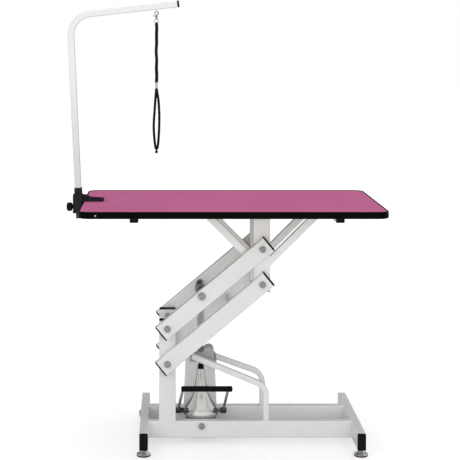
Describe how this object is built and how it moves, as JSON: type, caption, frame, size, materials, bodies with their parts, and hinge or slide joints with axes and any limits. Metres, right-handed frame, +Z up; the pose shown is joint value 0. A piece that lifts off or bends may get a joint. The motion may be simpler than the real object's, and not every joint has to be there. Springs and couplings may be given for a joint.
{
  "type": "grooming table",
  "caption": "Hydraulic Z-lift pet grooming table with a foot pump, levelling feet and a clamp-on arm carrying a noose.",
  "frame": {"origin": "centre of the overall footprint, on the floor, with the levelling feet screwed in", "axes": "+Z up, +X along the tabletop from the grooming arm towards the free end, +Y from the pedal side to the back"},
  "size_m": [1.142, 0.61, 1.6054],
  "materials": {
    "white_paint": "smooth white powder coat",
    "black_plastic": "moulded black plastic",
    "zinc_steel": "zinc plated steel",
    "grey_steel": "dull grey steel",
    "board_wood": "sealed fibreboard",
    "edge_rubber": "black rubber",
    "pink_mat": "fine pebbled non-slip sheet",
    "pump_chrome": "polished chrome",
    "pump_iron": "dark cast body",
    "black_cast": "black textured paint",
    "noose_nylon": "woven nylon cord"
  },
  "bodies": {
    "base": {"base_beams": "white_paint", "base_beam_caps": "black_plastic", "base_rails": "white_paint", "frame_bolt": "zinc_steel", "base_posts": "white_paint", "base_post_caps": "black_plastic", "base_pivot_bolts": "zinc_steel", "base_pivot_spacers": "grey_steel", "pump_trunnion_bolts": "zinc_steel", "guard_bars": "white_paint", "ram_guide": "grey_steel", "ram_guide_bolts": "zinc_steel", "pump_tower": "white_paint"},
    "upper_arms": {"upper_arm_front": "white_paint", "upper_arm_rear": "white_paint", "upper_arm_caps": "black_plastic", "ram_pin": "zinc_steel", "ram_pin_spacers": "grey_steel"},
    "lower_arms": {"lower_arm_front": "white_paint", "lower_arm_rear": "white_paint", "lower_arm_caps": "black_plastic", "lower_arm_tie": "white_paint"},
    "table": {"columns": "white_paint", "column_caps": "black_plastic", "column_pivot_bolts": "zinc_steel", "column_pivot_spacers": "grey_steel", "braces": "white_paint", "subframe_cross_tubes": "white_paint", "subframe_long_tubes": "white_paint", "subframe_caps": "black_plastic", "tabletop_board": "board_wood", "tabletop_edge": "edge_rubber", "tabletop_surface": "pink_mat", "edge_screw": "zinc_steel", "clamp_body": "black_cast", "pole_collar": "black_cast"},
    "ram": {"ram_rod": "grey_steel", "ram_head": "grey_steel"},
    "pump": {"pump_body": "pump_iron", "pump_cover": "pump_chrome", "pump_gland": "edge_rubber"},
    "pedal": {"pedal_shaft": "grey_steel", "pedal_hubs": "grey_steel", "pedal_bail": "zinc_steel", "pedal_sleeve": "edge_rubber"},
    "foot_front_left_body": {"foot_front_left": "zinc_steel"},
    "foot_front_right_body": {"foot_front_right": "zinc_steel"},
    "foot_rear_left_body": {"foot_rear_left": "zinc_steel"},
    "foot_rear_right_body": {"foot_rear_right": "zinc_steel"},
    "arm": {"grooming_arm": "white_paint", "grooming_arm_cap": "black_plastic"},
    "jaw_screw": {"clamp_screw": "black_cast"},
    "knob": {"clamp_knob": "black_plastic", "clamp_knob_screw": "zinc_steel"},
    "hook": {"snap_hook": "zinc_steel"},
    "noose": {"snap_ring": "zinc_steel", "noose_strap": "noose_nylon", "noose_lock": "zinc_steel", "noose_loop": "noose_nylon", "noose_bead": "noose_nylon"}
  },
  "joints": [
    {"name": "table_lift", "type": "hinge", "parent": "base", "child": "upper_arms", "pos_m": [-0.1985, 0, 0.424], "axis": [0, -1, 0], "range_deg": [-40, 10], "stiffness_Nm_per_rad": 80, "springref_deg": 55},
    {"name": "lower_arm_swing", "type": "hinge", "parent": "base", "child": "lower_arms", "pos_m": [-0.1985, 0, 0.2975], "axis": [0, -1, 0], "range_deg": [-40.5, 10.5]},
    {"name": "table_level", "type": "hinge", "parent": "upper_arms", "child": "table", "pos_m": [0.14289, 0, 0.70944], "axis": [0, -1, 0], "range_deg": [-10.5, 40.5]},
    {"name": "ram_tilt", "type": "hinge", "parent": "upper_arms", "child": "ram", "pos_m": [-0.07514, 0, 0.54148], "axis": [0, -1, 0], "range_deg": [-8.48, 32.42]},
    {"name": "ram_stroke", "type": "slide", "parent": "ram", "child": "pump", "axis": [0, 0, -1], "range_m": [-0.10033, 0.02546]},
    {"name": "pedal_press", "type": "hinge", "parent": "pump", "child": "pedal", "pos_m": [-0.069, -0.026, 0.099], "axis": [1, 0, 0], "range_deg": [0, 28], "stiffness_Nm_per_rad": 2, "springref_deg": -34.38},
    {"name": "foot_adjust_front_left", "type": "slide", "parent": "base", "child": "foot_front_left_body", "axis": [0, 0, -1], "range_m": [0, 0.01]},
    {"name": "foot_adjust_front_right", "type": "slide", "parent": "base", "child": "foot_front_right_body", "axis": [0, 0, -1], "range_m": [0, 0.01]},
    {"name": "foot_adjust_rear_left", "type": "slide", "parent": "base", "child": "foot_rear_left_body", "axis": [0, 0, -1], "range_m": [0, 0.01]},
    {"name": "foot_adjust_rear_right", "type": "slide", "parent": "base", "child": "foot_rear_right_body", "axis": [0, 0, -1], "range_m": [0, 0.01]},
    {"name": "arm_height", "type": "slide", "parent": "table", "child": "arm", "axis": [-0.0472, 0, 0.9989], "range_m": [0, 0.035]},
    {"name": "clamp_screw_travel", "type": "slide", "parent": "table", "child": "jaw_screw", "axis": [0, 0, -1], "range_m": [0, 0.005]},
    {"name": "knob_turn", "type": "hinge", "parent": "table", "child": "knob", "pos_m": [-0.559, 0, 0.844], "axis": [1, 0, 0], "continuous": true},
    {"name": "noose_swing", "type": "hinge", "parent": "arm", "child": "hook", "pos_m": [-0.239, 0, 1.56266], "axis": [0, 1, 0], "range_deg": [-60, 30]},
    {"name": "noose_swivel", "type": "hinge", "parent": "hook", "child": "noose", "pos_m": [-0.239, 0, 1.53266], "axis": [0, 0, 1], "continuous": true}
  ],
  "couplings": [
    {"joint": "lower_arm_swing", "follows": "table_lift", "ratio": 1},
    {"joint": "table_level", "follows": "table_lift", "ratio": -1},
    {"joint": "ram_tilt", "follows": "table_lift", "ratio": -0.798},
    {"joint": "ram_stroke", "follows": "table_lift", "m_per_rad": 0.143}
  ]
}
